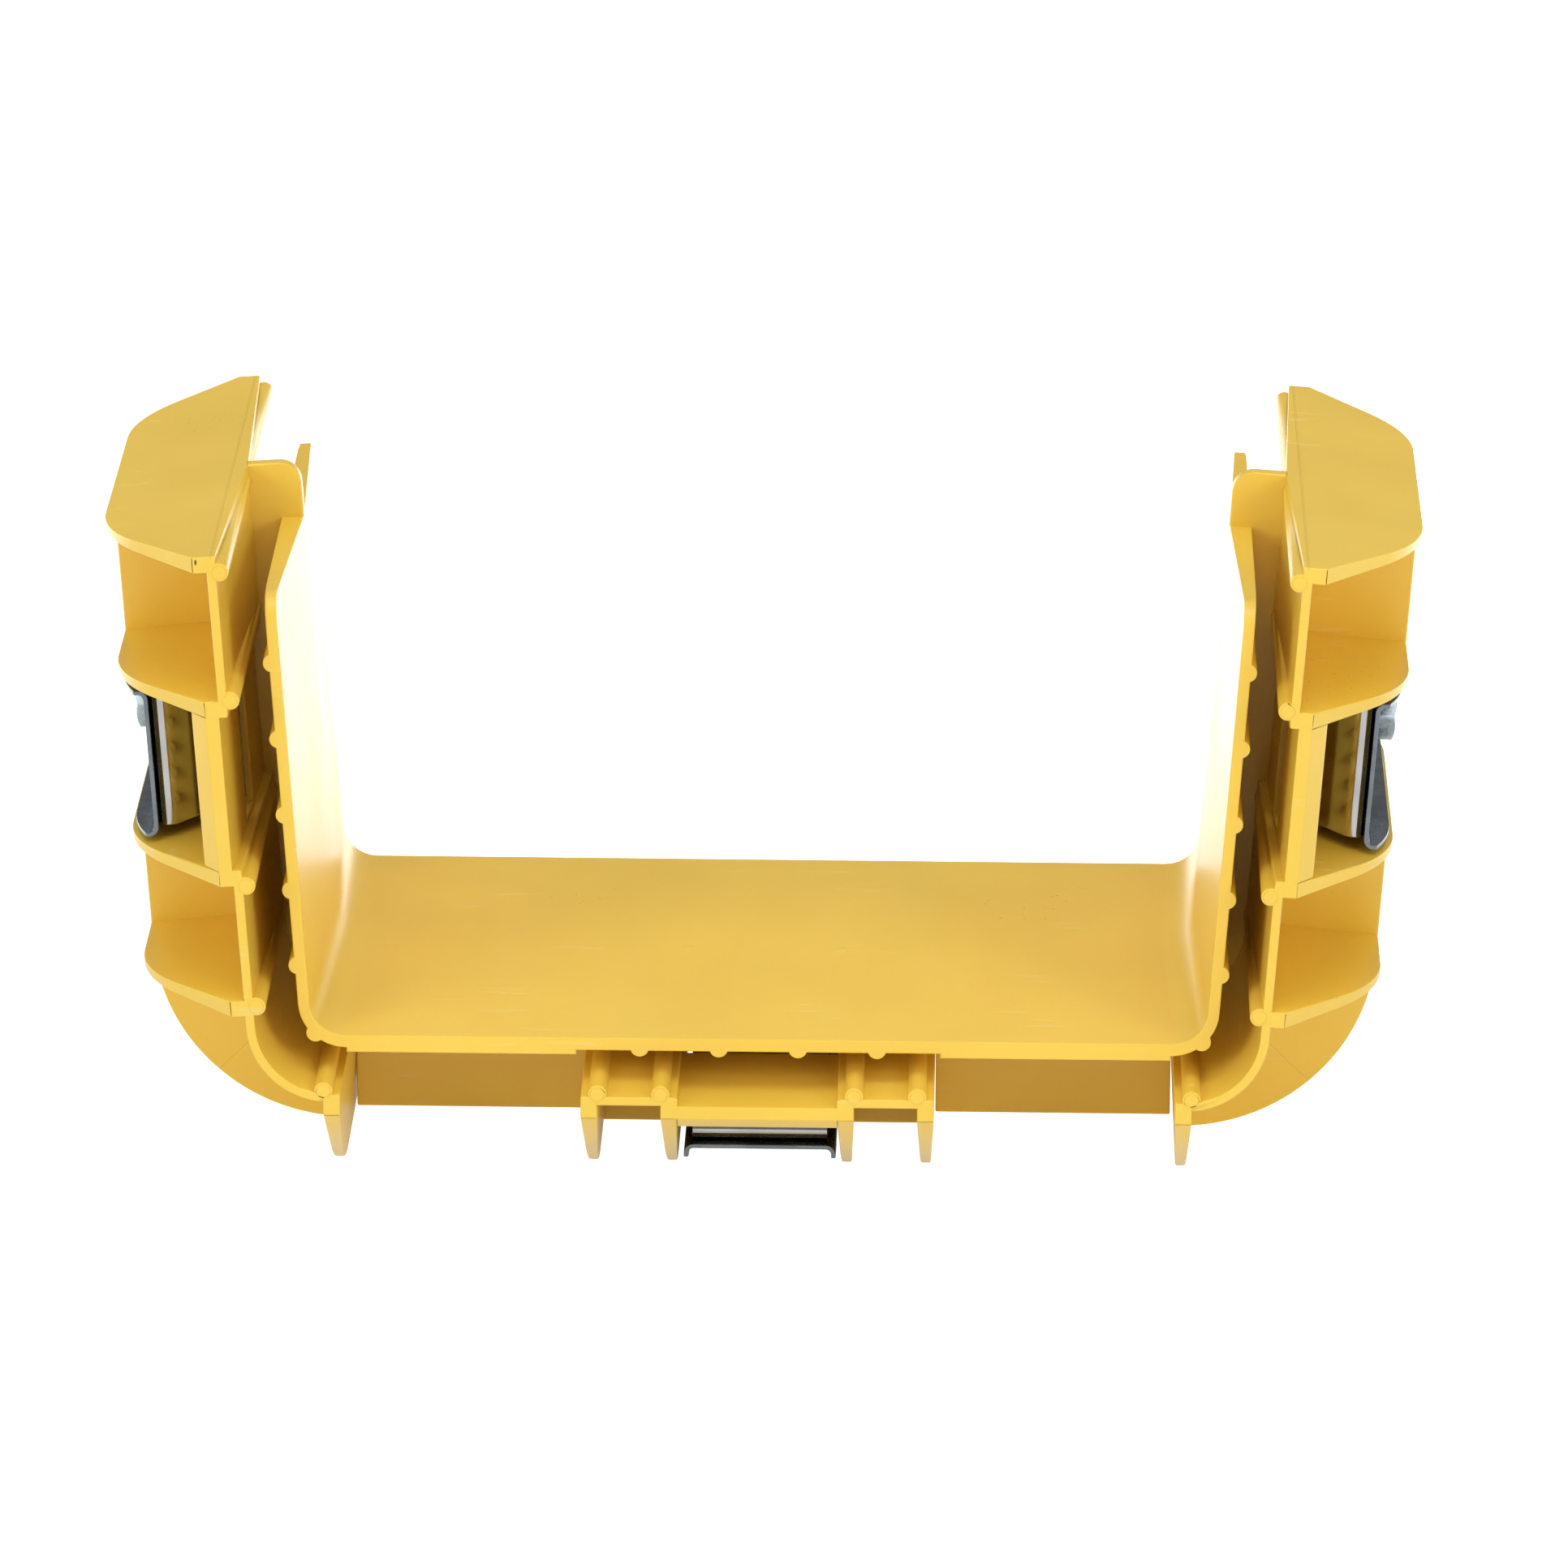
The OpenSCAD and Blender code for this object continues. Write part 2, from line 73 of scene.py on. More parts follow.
SIDES = ("left", "right", "base")
MOULDED = [
    "inner_tray", "cross_web",
    "left_upper_shelves", "left_clamp_pocket", "left_lower_shelves",
    "right_upper_shelves", "right_clamp_pocket", "right_lower_shelves",
    "base_left_feet", "base_clamp_pocket", "base_right_feet",
    "left_floor_rib", "right_floor_rib",
]

# %% [markdown]
# ## Camera, floor and light
#
# The camera comes first, so that every later step can be judged through it. It is a long lens, far away, so
# the two sides of the U stay almost parallel. It looks down a little, stands slightly right of the middle
# and is rolled by a quarter of a degree, as a camera on a tripod often is.

# %% Camera
LENS = 242.25
CAMERA_PLACE = Vector((0.03665, -1.64061, 0.59268))
PITCH, YAW, ROLL = (math.radians(a) for a in (18.115, 1.174, 0.238))


def looking(pitch, yaw, roll):
    """Rotation of a camera that looks along +Y, turned left by yaw, down by pitch, then rolled."""
    ahead = Vector((-math.sin(yaw) * math.cos(pitch), math.cos(yaw) * math.cos(pitch), -math.sin(pitch)))
    right = ahead.cross(Vector((0, 0, 1))).normalized()
    up = right.cross(ahead)
    tilted_right = right * math.cos(roll) + up * math.sin(roll)
    tilted_up = up * math.cos(roll) - right * math.sin(roll)
    return Matrix((tilted_right, tilted_up, -ahead)).transposed().to_4x4()


camera_data = bpy.data.cameras.new("camera")
camera_data.lens = LENS
camera_data.sensor_width = 36
camera_data.clip_end = 50
camera = bpy.data.objects.new("camera", camera_data)
camera.matrix_world = Matrix.Translation(CAMERA_PLACE) @ looking(PITCH, YAW, ROLL)
bpy.context.scene.collection.objects.link(camera)
bpy.context.scene.camera = camera
bpy.context.scene.view_settings.view_transform = "Standard"
print(f"camera: {LENS} mm lens, {CAMERA_PLACE.length:.2f} m away")

# %% [markdown]
# The studio is a white sweep in a dim room. The sweep glows, most of all behind the object, and that glow is
# what the inner sides of the U show, because they are seen almost edge-on and reflect like mirrors. Just
# above the horizon the room is dim, so level faces keep their colour. Higher up the room is soft and bright.
# Two broad lamps stand in front of the object, one on each side, and a third hangs above it.

# %% Lamps and surround


def lamp(name, place, target, size, watts):
    """Adds a rectangular lamp at a place, facing a target."""
    data = bpy.data.lights.new(name, "AREA")
    data.shape = "RECTANGLE"
    data.size, data.size_y = size
    data.energy = watts
    piece = bpy.data.objects.new(name, data)
    away = Vector(target) - Vector(place)
    piece.matrix_world = Matrix.Translation(place) @ away.to_track_quat("-Z", "Y").to_matrix().to_4x4()
    bpy.context.scene.collection.objects.link(piece)


middle = (cad_low + cad_high) / 2
for name, across in (("left_key", -1.15), ("right_key", 1.15)):
    lamp(name, (across, -1.1, 0.6), middle, (0.7, 0.7), 8.2)
lamp("ceiling_lamp", (0.0, -0.5, 1.6), middle, (1.2, 0.8), 7.2)


def surround():
    """World that is dim at the horizon and soft and bright overhead."""
    world = bpy.data.worlds.new("surround")
    world.use_nodes = True
    tree = world.node_tree
    place = tree.nodes.new("ShaderNodeTexCoord")
    parts = tree.nodes.new("ShaderNodeSeparateXYZ")
    rise = tree.nodes.new("ShaderNodeMapRange")
    rise.interpolation_type = "SMOOTHSTEP"
    tree.links.new(place.outputs["Generated"], parts.inputs[0])
    tree.links.new(parts.outputs["Z"], rise.inputs["Value"])
    for key, value in (("From Min", 0.25), ("From Max", 0.7), ("To Min", 0.2), ("To Max", 0.74)):
        rise.inputs[key].default_value = value
    tree.links.new(rise.outputs[0], tree.nodes["Background"].inputs["Strength"])
    tree.nodes["Background"].inputs["Color"].default_value = (1, 1, 1, 1)
    bpy.context.scene.world = world


surround()
print("lamps:", [light.name for light in bpy.data.lights])

# %% [markdown]
# ## Writing shaders as sums
#
# A material is easier to read as arithmetic than as a web of nodes. `Value` wraps one output socket. Its
# operators add Math nodes, so `1 - mask * 0.5` builds the nodes that work it out. `Shader` makes any other
# node from its type, its settings and the values or links of its inputs.

# %% The shader helpers


class Value:
    """A number that a node gives out, with the usual operators."""

    def __init__(self, shader, socket):
        self.shader = shader
        self.socket = socket

    def math(self, operation, *others):
        return self.shader.node("ShaderNodeMath", {"operation": operation}, self, *others)

    def __add__(self, other):
        return self.math("ADD", other)

    __radd__ = __add__

    def __sub__(self, other):
        return self.math("SUBTRACT", other)

    def __rsub__(self, other):
        return self.shader.node("ShaderNodeMath", {"operation": "SUBTRACT"}, other, self)

    def __mul__(self, other):
        return self.math("MULTIPLY", other)

    __rmul__ = __mul__

    def __truediv__(self, other):
        return self.math("DIVIDE", other)

    def ramp(self, low, high):
        """Rises smoothly from 0 at low to 1 at high."""
        settings = {"interpolation_type": "SMOOTHSTEP"}
        return self.shader.node("ShaderNodeMapRange", settings, self, low, high, 0.0, 1.0)

    def largest(self, other):
        """The larger of two values."""
        return self.math("MAXIMUM", other)

    def size(self):
        """Distance from zero."""
        return self.math("ABSOLUTE")


class Shader:
    """A material under construction."""

    def __init__(self, name):
        self.material = bpy.data.materials.new(name)
        self.material.use_nodes = True
        self.tree = self.material.node_tree
        self.surface = self.tree.nodes["Principled BSDF"]
        self.place = self.node("ShaderNodeTexCoord", {}, out="Object")

    def node(self, kind, settings, *values, out=0, **named):
        """Adds a node; values go to its inputs in order, named ones by name with _ for a space."""
        made = self.tree.nodes.new(kind)
        for key, setting in settings.items():
            setattr(made, key, setting)
        for key, value in list(enumerate(values)) + [(k.replace("_", " "), v) for k, v in named.items()]:
            self.feed(made.inputs[key], value)
        return Value(self, made.outputs[out])

    def feed(self, socket, value):
        if isinstance(value, Value):
            self.tree.links.new(value.socket, socket)
        else:
            socket.default_value = value

    def noise(self, size, detail=2.0, roughness=0.5, stretch=(1, 1, 1), lean=0.0):
        """Noise from 0 to 1 whose lumps are about size metres across, times stretch along each axis."""
        scale = tuple(1 / s for s in stretch)
        settings = {"vector_type": "POINT"}
        place = self.node("ShaderNodeMapping", settings, self.place, Scale=scale, Rotation=(0, lean, 0))
        return self.node("ShaderNodeTexNoise", {}, Vector=place, Scale=1 / size, Detail=detail,
                         Roughness=roughness)

    def axis(self, name):
        """Object coordinate X, Y or Z in metres."""
        return self.node("ShaderNodeSeparateXYZ", {}, self.place, out=name)

    def distance(self, spot, scale):
        """Distance to a spot, with each axis divided by its scale: the root of the sum of the squares."""
        axes = (self.axis("X"), self.axis("Y"), self.axis("Z"))
        east, north, up = (((a - c) / k).math("POWER", 2.0) for a, c, k in zip(axes, spot, scale))
        return (east + north + up).math("SQRT")

    def mix(self, share, first, second):
        """Colour between first and second; share is 0 to 1."""
        made = self.tree.nodes.new("ShaderNodeMix")
        made.data_type = "RGBA"
        self.feed(made.inputs[0], share)
        self.feed(made.inputs[6], first)
        self.feed(made.inputs[7], second)
        return Value(self, made.outputs[2])

    def bump(self, height, depth):
        """Normal that leans as a height does, where a height of 1 is depth metres."""
        return self.node("ShaderNodeBump", {}, Height=height, Distance=depth, Strength=1.0)

    def finish(self, **inputs):
        """Sets the Principled inputs by name and returns the material."""
        for name, value in inputs.items():
            self.feed(self.surface.inputs[name.replace("_", " ")], value)
        return self.material


def colour(text):
    """Linear colour of a hex code such as e6c04a."""
    parts = [int(text[i : i + 2], 16) / 255 for i in (0, 2, 4)]
    linear = [p / 12.92 if p <= 0.04045 else ((p + 0.055) / 1.055) ** 2.4 for p in parts]
    return (*linear, 1.0)


# %% [markdown]
# ## Materials
#
# The moulding is a satin engineering plastic in signal yellow. Up close its colour isn't even: the melt
# leaves slow, faint clouds, handling leaves pale scuffs, and the skin has a fine orange-peel. A little light
# goes in and comes out again, so thin edges look warm. The lower part of each foot is painted pale: painted
# light, the glow of the white floor on it. A small nick is painted as a near-black spot: painted shade in a
# hollow that is not modelled. It, a seam along the top of each wall and a mitre line at each corner are masks
# of position, because they lie in one place only.

# %% Yellow plastic
NICK_SHADE_SPOT = (-88.8 * MM, -52.2 * MM, 108.6 * MM)
TOP_SEAM_X = 86.5 * MM
MITRE_SUM = 97.5 * MM


def yellow_plastic():
    s = Shader("yellow_plastic")
    x, y, z = s.axis("X"), s.axis("Y"), s.axis("Z")
    across, along = x.size(), y.size()
    clouds = s.noise(0.035, detail=3)
    grain = s.noise(0.0012, detail=2)
    flow = s.noise(0.012, detail=2, stretch=(1, 6, 1))
    body = s.mix(clouds.ramp(0.3, 0.7), (0.83, 0.555, 0.062, 1), (0.87, 0.585, 0.07, 1))
    body = s.mix(flow.ramp(0.45, 0.75) * 0.25, body, (0.86, 0.61, 0.095, 1))
    scratch = s.noise(0.0011, detail=1, stretch=(12, 1.5, 1), lean=0.5)
    patches = s.noise(0.025, detail=2)
    scuffs = scratch.ramp(0.62, 0.7) * patches.ramp(0.52, 0.66)
    body = s.mix(scuffs * 0.22, body, (0.84, 0.7, 0.33, 1))
    # Painted light: the feet turn pale beige towards the floor, a painted glow of the lit floor on them.
    painted_floor_glow = (1 - z.ramp(2 * MM, 17 * MM)) * along.ramp(16 * MM, 44 * MM) * (1 - across.ramp(76 * MM, 80 * MM))
    body = s.mix(painted_floor_glow * 0.8, body, (0.74, 0.62, 0.36, 1))
    # Painted shade: a near-black spot where the nick is, standing in for the shade in its hollow.
    nick_shade = s.distance(NICK_SHADE_SPOT, (0.4, 1, 1))
    body = s.mix(1 - nick_shade.ramp(0.3 * MM, 0.6 * MM), body, (0.1, 0.06, 0.02, 1))
    seam = (1 - (across - TOP_SEAM_X).size().ramp(0.06 * MM, 0.2 * MM)) * z.ramp(109.2 * MM, 109.4 * MM)
    mitre = (across + z - MITRE_SUM).size().ramp(0.05 * MM, 0.2 * MM)
    roughness = 0.27 + clouds.ramp(0.3, 0.7) * 0.05 + scuffs * 0.2 + grain.ramp(0.2, 0.8) * 0.04
    corner_only = mitre.largest(1 - across.ramp(79 * MM, 80 * MM))
    skin = grain * 0.01 + scuffs * 0.02 - seam * 0.08 + corner_only * 0.06
    return s.finish(Base_Color=body, Roughness=roughness, Normal=s.bump(skin, MM), IOR=1.49,
                    Subsurface_Weight=0.08, Subsurface_Radius=(1.0, 0.45, 0.08), Subsurface_Scale=1.5 * MM)


# %% [markdown]
# The steel is of three kinds. The channels are zinc-plated sheet: faintly blue, with a soft, patchy lustre
# from the plating bath. The jaws are rolled stainless sheet, whose grain runs along the strip. The bolts,
# washers and nuts are small turned and forged parts, plated too, with tiny dents along their edges.

# %% Steels


def plated_sheet():
    s = Shader("plated_sheet")
    patches = s.noise(0.004, detail=4, roughness=0.6)
    specks = s.noise(0.0005, detail=2)
    lines = s.noise(0.0003, detail=2, stretch=(1, 30, 1))
    body = s.mix(patches.ramp(0.35, 0.7), colour("747c81"), colour("848c91"))
    roughness = 0.2 + patches.ramp(0.3, 0.7) * 0.08 + specks.ramp(0.5, 0.8) * 0.05
    return s.finish(Base_Color=body, Metallic=1.0, Roughness=roughness, Normal=s.bump(lines, 0.006 * MM))


def rolled_stainless():
    s = Shader("rolled_stainless")
    strip = s.noise(0.0006, detail=2, stretch=(1, 30, 1))
    stains = s.noise(0.008, detail=2)
    body = s.mix(stains.ramp(0.35, 0.7), (0.46, 0.455, 0.45, 1), (0.54, 0.53, 0.52, 1))
    roughness = 0.12 + strip.ramp(0.3, 0.7) * 0.04 + stains.ramp(0.5, 0.7) * 0.02
    return s.finish(Base_Color=body, Metallic=1.0, Roughness=roughness)


def plated_fastener():
    s = Shader("plated_fastener")
    patches = s.noise(0.0018, detail=4, roughness=0.6)
    dents = s.noise(0.0007, detail=3)
    body = s.mix(patches.ramp(0.35, 0.7), colour("9fb0bf"), colour("cbd5dc"))
    roughness = 0.2 + patches.ramp(0.3, 0.7) * 0.15
    return s.finish(Base_Color=body, Metallic=1.0, Roughness=roughness, Normal=s.bump(dents, 0.015 * MM))


YELLOW = yellow_plastic()
SHEET = plated_sheet()
STAINLESS = rolled_stainless()
FASTENER = plated_fastener()
print("materials:", [m.name for m in (YELLOW, SHEET, STAINLESS, FASTENER)])

# %% [markdown]
# ## Rounding the edges of a sawn-sharp model
#
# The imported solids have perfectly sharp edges, and nothing moulded or pressed does. `rounded_copy` merges
# loose triangles into whole faces, finds the outer edges, and bevels each by a radius that its neighbours
# leave room for. An edge that lies against another part of the same moulding is left sharp, because the real
# piece runs on there without a seam. Where two large flat faces meet at a very slight angle, as on the tray's
# floor, smooth shading would hide the bend, so `crisp_ridges` marks that edge sharp.

# %% Rounded copies
MERGE = 0.002 * MM
CONTACT = 0.06 * MM
FLAT = math.radians(0.6)
SHARP = math.radians(28)
SMOOTH_BELOW = math.radians(32)
SHARE_OF_ROOM = 0.4
ROUNDING_STEPS = 2
LARGE_FACE = 150 * MM * MM
SLIGHT_BEND = math.radians(0.8)


def loose_to_whole(mesh):
    """A bmesh of the mesh with doubled points merged and flat triangles joined into whole faces."""
    whole = bmesh.new()
    whole.from_mesh(mesh)
    bmesh.ops.remove_doubles(whole, verts=whole.verts, dist=MERGE)
    bmesh.ops.dissolve_limit(whole, angle_limit=FLAT, verts=whole.verts, edges=whole.edges,
                             use_dissolve_boundaries=False)
    return whole


def gap_to_segment(point, start, end):
    """Distance from a point to a straight edge."""
    along = end - start
    share = max(0.0, min(1.0, (point - start).dot(along) / max(along.length_squared, 1e-18)))
    return (point - start - along * share).length


def room_beside(edge):
    """Smallest distance from an edge's middle to the other edges of its two faces that don't touch it."""
    middle_point = (edge.verts[0].co + edge.verts[1].co) / 2
    room = 1.0
    for face in edge.link_faces:
        for other in face.edges:
            if other is edge or set(other.verts) & set(edge.verts):
                continue
            room = min(room, gap_to_segment(middle_point, other.verts[0].co, other.verts[1].co))
    return room


def rounded_copy(node, radius, neighbours=()):
    """A mesh like the node's, with its outer edges rounded, apart from those that lie on a neighbour."""
    whole = loose_to_whole(frame["nodes"][node].data)
    weight = whole.edges.layers.float.new("bevel_weight_edge")
    for edge in whole.edges:
        if not edge.is_manifold or edge.calc_face_angle_signed() < SHARP:
            continue
        centre = (edge.verts[0].co + edge.verts[1].co) / 2
        if any(tree.find_nearest(centre, CONTACT)[0] is not None for tree in neighbours):
            continue
        edge[weight] = min(1.0, SHARE_OF_ROOM * room_beside(edge) / radius)
    mesh = bpy.data.meshes.new(node + "_rounded")
    whole.to_mesh(mesh)
    whole.free()
    holder = bpy.data.objects.new(node + "_rounding", mesh)
    bpy.context.scene.collection.objects.link(holder)
    bevel = holder.modifiers.new("edges", "BEVEL")
    bevel.limit_method = "WEIGHT"
    bevel.width = radius
    bevel.segments = ROUNDING_STEPS
    bevel.use_clamp_overlap = False
    bevel.miter_outer = "MITER_ARC"
    result = bpy.data.meshes.new_from_object(holder.evaluated_get(bpy.context.evaluated_depsgraph_get()))
    bpy.data.objects.remove(holder)
    bpy.data.meshes.remove(mesh)
    return result


def join(meshes, name):
    """One mesh of several."""
    whole = bmesh.new()
    for mesh in meshes:
        whole.from_mesh(mesh)
    joined = bpy.data.meshes.new(name)
    whole.to_mesh(joined)
    whole.free()
    return joined


def crisp_ridges(mesh):
    """Marks an edge sharp where two large flat faces meet at a slight angle."""
    whole = bmesh.new()
    whole.from_mesh(mesh)
    for edge in whole.edges:
        if len(edge.link_faces) == 2 and min(f.calc_area() for f in edge.link_faces) > LARGE_FACE:
            if edge.calc_face_angle() > SLIGHT_BEND:
                edge.smooth = False
    whole.to_mesh(mesh)
    whole.free()


def place_piece(name, mesh, material, body, replaced):
    """Puts a finished mesh into the scene and on its body."""
    mesh.materials.clear()
    mesh.materials.append(material)
    mesh.shade_smooth()
    mesh.set_sharp_from_angle(angle=SMOOTH_BELOW)
    crisp_ridges(mesh)
    piece = bpy.data.objects.new(name, mesh)
    bpy.context.scene.collection.objects.link(piece)
    even = piece.modifiers.new("even_light", "WEIGHTED_NORMAL")
    even.keep_sharp = True
    even.weight = 90
    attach(piece, body)
    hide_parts(*replaced)


# %% The moulding
EDGE_RADIUS = 0.25 * MM
trees = {}
for name in MOULDED:
    data = frame["nodes"][name].data
    corners = [v.co.copy() for v in data.vertices]
    trees[name] = BVHTree.FromPolygons(corners, [tuple(p.vertices) for p in data.polygons])
moulded = []
for name in MOULDED:
    others = [tree for other, tree in trees.items() if other != name]
    moulded.append(rounded_copy(name, EDGE_RADIUS, others))
    print(f"{name}: {len(moulded[-1].polygons)} faces")


# %% [markdown]
# Pins push the cooled moulding out of its mould, and each leaves a low round pad on the tray's floor. A
# bump in the material would be lighter, but a pad that is real geometry is there in the exported mesh too.
# Its rim is a quarter circle, and its closed underside is sunk in the floor.

# %% Ejector pads
PIN_X, PIN_Y = 12.6 * MM, -4.5 * MM
PAD_RADIUS, PAD_RISE, PAD_SUNK = 1.0 * MM, 0.07 * MM, 0.2 * MM
PAD_POINTS = 48


def band_faces(rows, count):
    """Faces between each ring of count points and the next, with the points numbered ring by ring."""
    ring = np.arange(count)
    following = np.roll(ring, -1)
    first = np.arange(rows - 1)[:, None] * count
    quads = np.stack([first + ring, first + following, first + count + following, first + count + ring], -1)
    return quads.reshape(-1, 4)


def ejector_pad(x, y, surface):
    """Low round pad: its radius shrinks by rise * (1 - cos t) as its height grows by rise * sin t."""
    turn = np.linspace(0, 2 * math.pi, PAD_POINTS, endpoint=False)
    steps = np.linspace(0, math.pi / 2, 4)
    radii = np.concatenate([[PAD_RADIUS], PAD_RADIUS - PAD_RISE * (1 - np.cos(steps))])[:, None]
    heights = np.concatenate([[-PAD_SUNK], PAD_RISE * np.sin(steps)])[:, None]
    points = np.stack([x + radii * np.cos(turn), y + radii * np.sin(turn), surface + heights + 0 * turn], -1)
    ring = np.arange(PAD_POINTS)
    faces = band_faces(len(radii), PAD_POINTS).tolist()
    faces.append((ring + (len(radii) - 1) * PAD_POINTS).tolist())
    faces.append(ring[::-1].tolist())
    mesh = bpy.data.meshes.new("ejector_pad")
    mesh.from_pydata(points.reshape(-1, 3).tolist(), [], faces)
    return mesh


for x in (-PIN_X, PIN_X):
    floor_height = trees["inner_tray"].ray_cast(Vector((x, PIN_Y, 1)), Vector((0, 0, -1)))[0].z
    moulded.append(ejector_pad(x, PIN_Y, floor_height))
place_piece("moulding", join(moulded, "moulding"), YELLOW, "moulding", MOULDED)
print(f"two pads on a floor {floor_height / MM:.1f} mm up")

# %% [markdown]
# The channels and jaws are bent from sheet, so their edges are rounded much less than the moulding's. The
# packed channels stand a little too far out between their shelves. Each point beyond the bolt's seat is moved
# a share of that distance back, which hides the rims but leaves the channel up to 0.4 mm short of the packed
# model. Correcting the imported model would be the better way.

# %% The sheet steel


SHEET_RADIUS = 0.12 * MM
DRAWN_IN = 0.12
PRESSINGS = (("channel", SHEET, "zinc_plated_sheet"), ("jaw", STAINLESS, "stainless_sheet"))


def draw_in_rims(mesh, side):
    """Moves each point that stands beyond the bolt's seat a fixed share of that distance back towards it."""
    hinge = joints[f"{side}_bolt_turn"]
    seat, outwards = Vector(hinge["pos_m"]), -Vector(hinge["axis"])
    for vertex in mesh.vertices:
        reach = (vertex.co - seat).dot(outwards)
        vertex.co -= outwards * max(0.0, reach) * DRAWN_IN


for side in SIDES:
    for part, material, slot in PRESSINGS:
        node = f"{side}_{part}"
        mesh = rounded_copy(node, SHEET_RADIUS)
        if part == "channel":
            draw_in_rims(mesh, side)
        place_piece(f"{node}_pressing", mesh, material, f"{side}_clamp", [node])
        print(f"{node}: {len(mesh.polygons)} faces")

# %% [markdown]
# ## Bolts, washers and nuts
#
# A bolt is two surfaces of two numbers each: an angle round its axis and a step along its outline. The head's
# outline follows the hexagon, then the cone that trims its corners. The shank's radius goes up and down as a
# saw-tooth of height and angle together, which is all that a thread is.

# %% Surfaces round an axis
AROUND = 96


def clamp_axes(side):
    """Seat of the bolt's head, and a frame there: outwards, along the raceway, and across."""
    hinge = joints[f"{side}_bolt_turn"]
    outwards = -np.array(hinge["axis"])
    along = np.array([0, -1.0 if side == "left" else 1.0, 0])
    return np.array(hinge["pos_m"]), np.array([outwards, along, np.cross(outwards, along)])


def span_on_axis(side, part):
    """Lowest and highest place of a part's points along the bolt's axis, from the head's seat outwards."""
    seat, axes = clamp_axes(side)
    points = np.array([v.co for v in frame["nodes"][f"{side}_{part}"].data.vertices])
    reach = (points - seat) @ axes[0]
    return reach.min(), reach.max()


def hexagon(angles, flat, turn):
    """Distance to the side of a hexagon of half width flat, at each angle; a flat faces the angle turn."""
    third = math.pi / 3
    return flat / np.cos((angles - turn + third / 2) % third - third / 2)


def lathe(outline, angles):
    """Closed mesh of rings: outline(angles) gives rows of (height, radius) that start and end on the axis."""
    height, radius = outline(angles)
    rows, count = height.shape
    points = np.stack([height, radius * np.cos(angles), radius * np.sin(angles)], axis=-1)
    poles = np.array([[height[0, 0], 0, 0], [height[-1, 0], 0, 0]])
    ring = np.arange(count)
    following = np.roll(ring, -1)
    last = (rows - 1) * count
    low_pole = np.full(count, rows * count)
    low_fan = np.stack([low_pole, following, ring], -1)
    high_fan = np.stack([low_pole + 1, last + ring, last + following], -1)
    all_points = np.concatenate([points.reshape(-1, 3), poles])
    return all_points, band_faces(rows, count), np.concatenate([low_fan, high_fan])


def mesh_in_frame(name, side, points, faces):
    """A mesh of points given in a clamp's frame."""
    seat, axes = clamp_axes(side)
    mesh = bpy.data.meshes.new(name)
    mesh.from_pydata((seat + points @ axes).tolist(), [], faces)
    mesh.update()
    return mesh


def face_outwards(mesh):
    """Turns every face of a closed mesh outwards."""
    whole = bmesh.new()
    whole.from_mesh(mesh)
    bmesh.ops.recalc_face_normals(whole, faces=whole.faces)
    whole.to_mesh(mesh)
    whole.free()


# %% [markdown]
# The head is 8 mm across its flats. A cone of 30 degrees trims the corners of its outer face, so each flat
# ends in a curve, and the edge on the washer's side is only softened. A known fault: a flat faces the angle
# that `head_turn` gives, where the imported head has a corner, so heads and nuts stand 30 degrees off the
# packed ones. Leaving out `+ third / 2` in `hexagon` should cure it.

# %% The bolt's head
HEX_FLAT = 4.0 * MM
TRIM = math.tan(math.radians(30))
SOFT = 0.08 * MM
LIFT = 0.03 * MM
ON_AXIS = 0.001 * MM


def head_turn(side):
    """Angle that a flat of the head faces, from the raceway's direction."""
    return math.radians(40 if side == "left" else 20)


def hex_block(side, low, high):
    """Outline of a hexagon block from low to high: a cone trims its top corners, its foot is softened."""
    face_radius = 0.97 * HEX_FLAT

    def outline(angles):
        side_radius = hexagon(angles, HEX_FLAT, head_turn(side))
        top_edge = high - (side_radius - face_radius) * TRIM
        low_edge = np.full_like(angles, low + SOFT)
        low_face = side_radius - SOFT
        one = np.ones_like(angles)
        rows = [
            (low * one, ON_AXIS * one),
            (low * one, low_face * one * (1 - 0.02)),
            (low * one, low_face * one),
            (low_edge, side_radius),
            (low_edge + SOFT, side_radius),
            (top_edge - SOFT, side_radius),
            (top_edge, side_radius - SOFT * 0.3),
            (high * one, face_radius * one),
            (high * one, face_radius * 0.98 * one),
            (high * one, ON_AXIS * one),
        ]
        return np.array([r[0] for r in rows]), np.array([r[1] for r in rows])

    return outline


# %% [markdown]
# The thread's pitch is 0.8 mm. Its crest is drawn 4.8 mm across, a little under the real 5 mm, so that it
# stays clear of the nut's plain bore. The head is lifted slightly, so that its flat underside and the
# washer's top don't lie in one plane.

# %% The bolt's thread
PITCH_M5 = 0.8 * MM
CREST, ROOT = 2.4 * MM, 1.98 * MM


def shank(low, high):
    """Outline of a threaded shank: its radius is a saw-tooth of height and angle, fading out at both ends."""
    steps = int((high - low) / PITCH_M5 * 10)

    def outline(angles):
        height = np.linspace(low, high, steps)[:, None] + 0 * angles
        phase = (height / PITCH_M5 - angles / (2 * math.pi)) % 1
        tooth = np.clip(np.abs(phase - 0.5) * 2.6 - 0.15, 0, 1)
        radius = CREST - (CREST - ROOT) * tooth
        plain = np.clip((height - (high - 1.2 * MM)) / (0.8 * MM), 0, 1)
        radius = radius * (1 - plain) + CREST * plain
        end = np.clip(1 - (height - low) / (0.7 * MM), 0, 1)
        return height, radius - end * np.maximum(radius - ROOT, 0) - end * 0.15 * MM

    return outline


def place_fastener(name, side, outlines, body, replaced):
    """Makes one piece of several lathed outlines."""
    turned = np.linspace(0, 2 * math.pi, AROUND, endpoint=False)
    points, faces, start = [], [], 0
    for outline in outlines:
        rings, quads, fans = lathe(outline, turned)
        faces += (quads + start).tolist() + (fans + start).tolist()
        points.append(rings)
        start += len(rings)
    mesh = mesh_in_frame(name, side, np.concatenate(points), faces)
    face_outwards(mesh)
    place_piece(name, mesh, FASTENER, body, [replaced])


